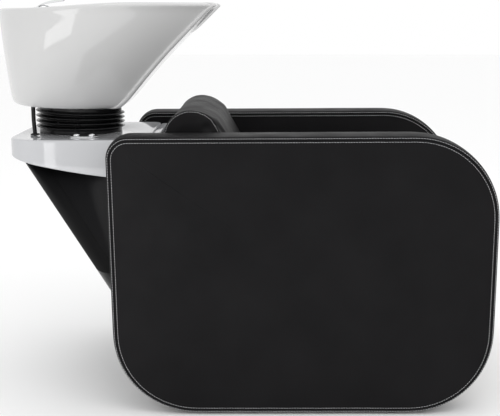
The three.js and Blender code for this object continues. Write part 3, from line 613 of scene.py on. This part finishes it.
def cushion(name, corners, half, round_edge, node, held):
    """A padded piece whose side shape is the corners in X and Z, sewn round both side faces."""
    steps = [(0.050, 0.0), (0.022, 0.0), (0.008, 0.0004), (0.003, 0.002), (0.0008, 0.0045),
             (0, round_edge)]
    shrink = 0.0015
    sections = []
    for face, inward in ((-half + shrink, 1), (half - shrink, -1)):
        for inset, depth in (steps if inward > 0 else steps[::-1]):
            sections.append([Vector((p.x, face + inward * depth, p.y))
                             for p in outline(corners, inset + shrink, 12, 0.03)])
    bm = swelled(lofted(sections), name + "_bag", 0.005, 0.005, held)
    seams = []
    surface = BVHTree.FromBMesh(bm)
    for face, inward in ((-half, 1), (half, -1)):
        seam = dense([Vector((p.x, face + inward * 0.0015, p.y))
                      for p in outline(corners, 0.0035, 12, 0.03)])
        seams.append([surface.find_nearest(p)[0] for p in seam])
    for seam in seams:
        seamed(bm, seam, 0.007, 0.0025)
    made = placed(bm, name, vinyl, "base", (node,))
    rounder = made.modifiers.new("rounder", "SUBSURF")
    rounder.levels = rounder.render_levels = 1
    surface = BVHTree.FromObject(made, bpy.context.evaluated_depsgraph_get())
    stitches = bmesh.new()
    for path in seams:
        spots = [surface.find_nearest(p) for p in path]
        stitched(stitches, [spot + normal * 0.0008 for spot, normal, _, _ in spots])
    placed(stitches, name + "_stitching", thread, "base")
    return made


seat_low, seat_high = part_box("seat_cushion")
lean = math.radians(30)
seat_depth = seat_high.z - seat_low.z
seat_shape = [(seat_low.x + seat_depth * math.tan(lean), seat_low.z, 0.008),
              (seat_high.x, seat_low.z, 0.014), (seat_high.x, seat_high.z, 0.045),
              (seat_low.x, seat_high.z, 0.012)]
cushion("seat_pad", seat_shape, seat_high.y, 0.010, "seat_cushion",
        lambda p: min(1.0, max(0.0, (p.z - seat_low.z - 0.004) / 0.03)))

back_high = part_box("backrest_cushion")[1]
back_thick, back_length = 0.140, 0.250
back_top = Vector((-0.106, 0.630))
back_down = Vector((math.sin(lean), -math.cos(lean)))
back_out = Vector((math.cos(lean), math.sin(lean)))
half_back = back_thick / 2
back_shape = []
for s, n, radius in ((back_length, -half_back, 0.006), (back_length, half_back, 0.014),
                     (-half_back, half_back, 0.0695), (-half_back, -half_back, 0.0695)):
    spot = back_top + back_down * s + back_out * n
    back_shape.append((spot.x, spot.y, radius))
cushion("backrest_pad", back_shape, back_high.y, 0.010, "backrest_cushion", lambda p: 1.0)

# ------------------------------------------------------------------ console
# A shell of thick glossy white acrylic around the basin's foot: a flat top with an opening
# for the bellows, rounded rear corners, and walls whose lower edge sweeps up to the back.

gloss = finish("white_gloss", (0.51, 0.515, 0.53), 0.05)
rubbed(gloss, pattern(gloss, "Noise", 24, Detail=4), 0.03, 0.07)
embossed(gloss, pattern(gloss, "Noise", 16, Detail=1), 0.0002, 0.25)
tinted(gloss, pattern(gloss, "Noise", 4, Detail=2), (0.50, 0.505, 0.52), (0.52, 0.525, 0.54))

shell_low, shell_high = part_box("console_shell")
console_top = shell_high.z
pivot = Vector((-0.400, 0, 0.655))
bellows_opening = 0.088
console_corners = [(shell_low.x, shell_low.y, 0.080), (shell_high.x, shell_low.y, 0.025),
                   (shell_high.x, shell_high.y, 0.025), (shell_low.x, shell_high.y, 0.080)]


def console_rim(x):
    """Height of the shell's lower edge, which sweeps up towards the back."""
    t = (x - shell_low.x + 0.005) / (shell_high.x - shell_low.x + 0.010)
    return (1 - t) ** 2 * 0.583 + 2 * t * (1 - t) * 0.538 + t * t * 0.528


def console_ring(inset, height):
    """A loop of the shell; height is a level, or a drop above the lower edge if it is small."""
    ring = []
    for p in outline(console_corners, inset, 12, 0.03):
        ring.append(Vector((p.x, p.y, height if height > 0.1 else console_rim(p.x) + height)))
    return ring


def opening_ring(radius, z):
    ring = []
    for p in outline(console_corners, 0, 12, 0.03):
        away = Vector((p.x - pivot.x, p.y)).normalized() * radius
        ring.append(Vector((pivot.x + away.x, away.y, z)))
    return ring


console_edge = 0.005
round_over = [(console_edge * (1 - math.sin(a)), console_top - console_edge * (1 - math.cos(a)))
              for a in (math.pi / 2 * (1 - k / 5) for k in range(6))]
console_loops = [console_ring(0.0006, 0), console_ring(0, 0.0008), console_ring(0, 0.002),
                 *[console_ring(inset, z) for inset, z in round_over],
                 console_ring(0.0065, console_top),
                 opening_ring(bellows_opening + 0.003, console_top),
                 opening_ring(bellows_opening, console_top - 0.001),
                 opening_ring(bellows_opening, console_top - 0.004),
                 opening_ring(bellows_opening + 0.002, console_top - 0.005),
                 console_ring(0.0065, console_top - 0.005),
                 console_ring(0.005, console_top - 0.0065),
                 console_ring(0.005, 0.002), console_ring(0.0044, 0)]
creased(placed(lofted(console_loops, closed=True), "console_cover", gloss, "base",
               ("console_shell",)), 50)
from_cad("console_trim", "console_end_trim", gloss, "base", 0.0015)

# ------------------------------------------------------------------ bellows
# A moulded black rubber bellows closes the gap between the console and the tilting basin.
# Its foot is clipped round a plastic ring, and its top follows the basin's sloping floor.

rubber = finish("black_rubber", (0.004, 0.004, 0.0044), 0.22, Specular_IOR_Level=0.3)
embossed(rubber, pattern(rubber, "Noise", 1100, Detail=2), 0.00006)
rubbed(rubber, pattern(rubber, "Noise", 35, Detail=4), 0.16, 0.28)
tinted(rubber, pattern(rubber, "Noise", 20, Detail=3),
       (0.0034, 0.0034, 0.0038), (0.0056, 0.0056, 0.006))

floor_slope = -0.0575
bellows_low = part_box("bellows")[0].z
bellows_high = 0.6870
cuff, fold_count = 0.008, 4
peak, valley, rubber_wall = 0.110, 0.097, 0.0025


def fold_radius(z):
    """Radius of the bellows at height z: plain cuffs, and rounded folds between them."""
    span = bellows_high - bellows_low - 2 * cuff
    turn = (z - bellows_low - cuff) / span * fold_count
    if not 0 < turn < fold_count:
        return valley + 0.005
    return valley + (peak - valley) * (0.5 - 0.5 * math.cos(2 * math.pi * turn)) ** 0.8


levels = [bellows_low + (bellows_high - bellows_low) * k / 72 for k in range(73)]
skin = [(fold_radius(z), z) for z in levels]
skin += [(r - rubber_wall, z) for r, z in reversed(skin)]
bellows_bm = turned(skin + [skin[0]], 0, 0, 72)
for vertex in bellows_bm.verts:
    share = (vertex.co.z - bellows_low) / (bellows_high - bellows_low)
    vertex.co.z += share * floor_slope * vertex.co.x
bmesh.ops.translate(bellows_bm, verts=bellows_bm.verts, vec=(pivot.x, 0, 0))
bellows = placed(bellows_bm, "basin_bellows", rubber, None, ("bellows",))
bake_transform(bellows, "base", "basin", start=(pivot.x, 0, bellows_low + cuff),
         end=(pivot.x, 0, bellows_high - cuff))
painted(moulded, "bellows_ring")

# ------------------------------------------------------------------ console fittings
# A rubber grommet where the shower hose leaves the console, and beside the bellows an oval
# chromed plate over the water connections, held by two screws under domed caps.

chrome = finish("chrome", (0.80, 0.81, 0.82), 0.08, 1.0)
rubbed(chrome, pattern(chrome, "Noise", 60, Detail=4), 0.05, 0.12)
tinted(chrome, pattern(chrome, "Noise", 12, Detail=2), (0.76, 0.77, 0.78), (0.84, 0.845, 0.85))
embossed(chrome, pattern(chrome, "Noise", 90, Detail=1), 0.00005, 0.3)

low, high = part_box("hose_grommet")
hose_spot = (low + high) / 2
collar = [(0.0058, low.z), (0.011, low.z), (0.0112, low.z + 0.0008), (0.0104, high.z - 0.0008),
          (0.0092, high.z), (0.0072, high.z), (0.006, high.z - 0.001), (0.0058, low.z)]
placed(turned(collar, hose_spot.x, hose_spot.y, 32), "hose_collar", rubber, "base",
       ("hose_grommet",))

low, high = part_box("cover_plate")
plate_radius = (high.y - low.y) / 2
plate_corners = [(low.x, low.y, plate_radius - 0.0002), (high.x, low.y, plate_radius - 0.0002),
                 (high.x, high.y, plate_radius - 0.0002), (low.x, high.y, plate_radius - 0.0002)]
plate_rings = [[Vector((p.x, p.y, z)) for p in outline(plate_corners, inset, 14, 0.05)]
               for inset, z in ((0, low.z), (0, low.z + 0.001), (0.0004, low.z + 0.0018),
                                (0.0012, low.z + 0.0023), (0.0024, high.z), (0.004, high.z))]
creased(placed(lofted(plate_rings), "connection_cover", chrome, "base",
               ("cover_plate",)), 50)
for end in ("back", "front"):
    low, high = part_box(f"cover_cap_{end}")
    rise, r = high.z - low.z, (high.x - low.x) / 2
    dome = [(0, low.z), (r, low.z)]
    dome += [(r * math.cos(a), low.z + 0.0006 + (rise - 0.0006) * math.sin(a))
             for a in (math.pi / 2 * k / 8 for k in range(9))]
    creased(placed(turned(dome, (low.x + high.x) / 2, (low.y + high.y) / 2, 32), f"{end}_screw_cap",
                   chrome, "base", (f"cover_cap_{end}",)), 50)

# ------------------------------------------------------------------ hoses
# The shower's rubber hose runs straight up beside the bellows. Two thin supply hoses and
# the grey corrugated waste hose go down through the cradle inside the pedestal. All of them
# are held at both ends and bend where the basin tilts.


def smooth_line(points, parts=8):
    """The points of a smooth line through the given ones."""
    points = [Vector(p) for p in points]
    line = [points[0]]
    for i in range(len(points) - 1):
        a, b = points[i], points[i + 1]
        before = points[i - 1] if i else a - (b - a)
        after = points[i + 2] if i + 2 < len(points) else b + (b - a)
        line += interpolate_bezier(a, a + (b - before) / 6, b - (after - a) / 6, b, parts + 1)[1:]
    return line


def piped(line, radius, sides=20):
    """Rings of a round hose along the line; radius may be a function of the run so far."""
    rings, run, frame_turn, heading = [], 0.0, Vector((1, 0, 0)), None
    for i, point in enumerate(line):
        tangent = (line[min(i + 1, len(line) - 1)] - line[max(i - 1, 0)]).normalized()
        if heading is None:
            frame_turn = (frame_turn - tangent * frame_turn.dot(tangent)).normalized()
        else:
            frame_turn = (heading.rotation_difference(tangent) @ frame_turn).normalized()
            run += (point - line[i - 1]).length
        heading = tangent
        across = tangent.cross(frame_turn)
        r = radius(run) if callable(radius) else radius
        rings.append([point + frame_turn * r * math.cos(2 * math.pi * k / sides)
                      + across * r * math.sin(2 * math.pi * k / sides) for k in range(sides)])
    return rings


def hose(name, points, radius, material, node, start, end, parts=8, sides=20):
    made = placed(lofted(piped(smooth_line(points, parts), radius, sides)), name, material, None,
                  (node,))
    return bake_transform(made, "base", "basin", start=(pivot.x, 0, start), end=(pivot.x, 0, end))


basin_floor = 0.694
floor_ref = -0.510


def floor_height(x):
    """Height of the basin's outside floor, which dips towards the sitter."""
    return basin_floor + floor_slope * (x - floor_ref)


hose_top = floor_height(hose_spot.x)
hose("shower_supply_hose", [
    (hose_spot.x + 0.002, hose_spot.y, console_top - 0.028),
    (hose_spot.x, hose_spot.y, console_top),
    (hose_spot.x - 0.002, hose_spot.y, (console_top + hose_top) / 2),
    (hose_spot.x - 0.002, hose_spot.y, hose_top),
    (hose_spot.x - 0.002, hose_spot.y, hose_top + 0.009),
], 0.005, rubber, "shower_hose", console_top + 0.004, hose_top)

drain = Vector((-0.350, 0))
throat = -0.460
mixer = Vector((-0.480, 0))
hose_hole = drain.x - 0.020
waste_line = [(drain.x, 0, 0.6285), (drain.x - 0.002, 0, 0.590), (drain.x + 0.005, 0, 0.540),
              (-0.250, 0, 0.372), (-0.140, 0, 0.195), (-0.062, 0, 0.070), (-0.052, 0, 0.014)]
hose("waste_pipe", waste_line, lambda run: 0.0185 + 0.0015 * math.cos(run * 2 * math.pi / 0.008),
     moulded, "waste_hose", 0.560, 0.628, 48)
for name, sign, node in (("hot_supply_hose", -1, "supply_hose_hot"),
                         ("cold_supply_hose", 1, "supply_hose_cold")):
    hose(name, [
        (mixer.x, sign * 0.008, 0.844),
        (mixer.x * 0.7 + throat * 0.3, sign * 0.010, 0.800),
        (mixer.x * 0.35 + throat * 0.65, sign * 0.012, 0.740),
        (throat - 0.002, sign * 0.014, 0.690),
        (throat + 0.026, sign * 0.022, 0.650),
        (hose_hole - 0.018, sign * 0.030, 0.615),
        (hose_hole - 0.016, sign * 0.030, 0.590),
        (hose_hole - 0.008, sign * 0.042, 0.555),
        (-0.220, sign * 0.058, 0.265),
        (-0.085, sign * 0.060, 0.050),
        (-0.080, sign * 0.060, 0.014),
    ], 0.006, rubber, node, 0.600, 0.690)

# ------------------------------------------------------------------ basin
# One piece of white glazed sanitary ware: a deep bowl with a ledge behind it for the mixer,
# flared walls that draw in to a neck recess, and a thick rolled bead down the front corners.

glaze = finish("white_glaze", (0.58, 0.58, 0.58), 0.06, Coat_Weight=0.4, Coat_Roughness=0.03)
rubbed(glaze, pattern(glaze, "Noise", 18, Detail=5), 0.05, 0.11)
embossed(glaze, pattern(glaze, "Noise", 11, Detail=2), 0.0004, 0.2)
embossed(glaze, pattern(glaze, "Noise", 260, Detail=2), 0.00005, 0.3)
tinted(glaze, pattern(glaze, "Noise", 3, Detail=3), (0.57, 0.57, 0.57), (0.595, 0.595, 0.592))

basin_low, basin_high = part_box("basin")
rim_back, rim_front = 0.925, 0.938
neck_radius, neck_drop = 0.088, 0.061
bead = 0.009
side_bulge = 0.020


def plan(back, front, half, neck, roll):
    """Half of the basin's plan, from the middle of its back to the middle of its front."""
    wide = back + (front - back) * 0.38
    widest = Vector((wide, half))
    points = interpolate_bezier(Vector((back, 0)), Vector((back, half * 0.46)),
                                Vector((wide - (wide - back) * 0.6, half)), widest, 22)
    corner = Vector((front - roll, neck - roll + 0.002))
    start = corner + Vector((math.cos(math.radians(130)), math.sin(math.radians(130)))) * roll
    ahead = Vector((wide + (front - wide) * 0.45, half))
    before = Vector((front - (front - wide) * 0.32, neck + (half - neck) * 0.46))
    points += interpolate_bezier(widest, ahead, before, start, 19)[1:]
    points += [corner + Vector((math.cos(a), math.sin(a))) * roll
               for a in (math.radians(130 - 130 * k / 8) for k in range(1, 9))]
    last = points[-1].y
    points += [Vector((front, last * (1 - k / 20))) for k in range(1, 21)]
    return points


def rim_height(x, y):
    """Height of the rim: a gentle rise forwards, and the round recess for the neck."""
    t = min(1.0, max(0.0, (x + 0.497) / 0.278))
    top = rim_back + (rim_front - rim_back) * t * t * (3 - 2 * t)
    reach = neck_radius ** 2 - y * y
    if x > -0.16 and reach > 0:
        top = min(top, rim_front + neck_radius - neck_drop - math.sqrt(reach))
    return top


def basin_front(share):
    """X of the front face at a share of the way up: a straight slope that is a little hollow."""
    return -0.289 + 0.240 * share - 0.0105 * math.sin(math.pi * min(1.0, max(0.0, share))) ** 1.3


def basin_loop(share, inset, lift=0.0, back=None):
    """A loop at a share of the way up to the rim, drawn in by inset and raised by lift."""
    def mix(a, b):
        return a + (b - a) * share
    swell = math.sin(math.pi * min(1.0, max(0.0, share)))
    half_loop = plan(mix(-0.565, basin_low.x) + inset if back is None else back,
                     basin_front(share) - inset * 1.4,
                     mix(0.138, 0.245) + side_bulge * swell - inset,
                     mix(0.066, 0.122) - inset * 0.6, bead + inset * 0.5)
    tops = plan(basin_low.x, basin_high.x, 0.245, 0.122, bead)
    loop = []
    for p, t in zip(half_loop, tops):
        ground = floor_height(p.x)
        rise = (rim_height(t.x, t.y) - ground) * share
        drop = share - rise / (rim_front - ground)
        x = p.x
        if t.y < 0.1 and t.x > -0.1 and drop > 0:
            x += basin_front(share - drop) - basin_front(share)
        loop.append(Vector((x, p.y, ground + rise + lift)))
    return loop + [Vector((p.x, -p.y, p.z)) for p in loop[-2:0:-1]]


def drain_loop(z, radius):
    half_loop = basin_loop(0.0, 0.03)
    ring = []
    for p in half_loop:
        away = Vector((p.x - drain.x, p.y)).normalized() * radius
        ring.append(Vector((drain.x + away.x, away.y, z)))
    return ring


wall = 0.015
drain_bore = 0.0245
drain_seat = 0.0345                 # radius of the flat that the drain's flange lies on
basin_loops = [drain_loop(floor_height(drain.x), drain_bore)]
# the underside, and its rounded lower edge
basin_loops += [basin_loop(share, inset, lift) for share, inset, lift in (
    (0, 0.040, 0), (0, 0.013, 0), (0, 0.007, 0.0005), (0, 0.0035, 0.0022), (0.012, 0.001, 0.003),
    (0.06, 0, 0.001))]
basin_loops += [basin_loop(0.06 + 0.88 * k / 14, 0) for k in range(1, 15)]
# over the rounded rim
basin_loops += [basin_loop(1, inset, lift) for inset, lift in (
    (0.0, -0.0085), (0.0006, -0.0050), (0.0022, -0.0022), (0.0048, -0.0006), (0.0075, 0.0),
    (0.0102, -0.0006), (0.0128, -0.0022), (0.0144, -0.0050), (wall, -0.0085))]
# down to the mixer's ledge
basin_loops += [basin_loop(share, wall + inset) for share, inset in (
    (0.95, 0), (0.88, 0), (0.80, 0), (0.765, 0.001), (0.75, 0.006))]
# down the bowl, whose back wall stands ahead of the ledge
basin_loops += [basin_loop(share, wall + inset, 0, back) for share, inset, back in (
    (0.75, 0.008, -0.447), (0.742, 0.012, -0.440), (0.71, 0.013, -0.436), (0.60, 0.013, -0.432),
    (0.45, 0.013, -0.427), (0.32, 0.013, -0.423), (0.22, 0.016, -0.418), (0.15, 0.024, -0.411),
    (0.115, 0.036, -0.402), (0.10, 0.052, -0.392))]
basin_loops += [drain_loop(0.7095, drain_seat), drain_loop(0.7085, drain_bore)]
basin = placed(lofted(basin_loops, closed=True), "wash_basin", glaze, "basin",
               ("basin",))
rounder = basin.modifiers.new("rounder", "SUBSURF")
rounder.levels = rounder.render_levels = 1

# ------------------------------------------------------------------ drain, mixer and shower
# Chromed brass: the drain's flange with a lift-out hair strainer, a single lever mixer on
# the ledge, and a hand shower that rests in a plastic cradle beside it.

from_cad("drain_flange", "drain_collar", chrome, "basin", 0.0005)
from_cad("hair_strainer", "strainer_plug", chrome, "hair_strainer", 0.0006)
from_cad("drain_tailpiece", "drain_outlet", moulded, "basin", 0.0004)
from_cad("mixer_cartridge", "mixer_dome", chrome, "mixer_head", 0.0006)
from_cad("mixer_lever", "mixer_handle", chrome, "mixer_lever", 0.0012)
from_cad("hand_shower", "shower_handset", chrome, "hand_shower", 0.0012)
from_cad("shower_cradle", "handset_rest", moulded, "basin", 0.001)

low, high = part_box("mixer_body")
r = 0.021
foot = 0.8683
shank = 0.013
pillar = [(0, low.z), (shank, low.z), (shank, foot), (r + 0.004, foot), (r + 0.0042, foot + 0.002),
          (r + 0.0034, foot + 0.005), (r + 0.0012, foot + 0.0078), (r, foot + 0.011),
          (r, high.z - 0.001), (r - 0.0008, high.z), (0, high.z)]
creased(placed(turned(pillar, mixer.x, mixer.y, 48), "mixer_pillar", chrome, "basin",
               ("mixer_body",)))
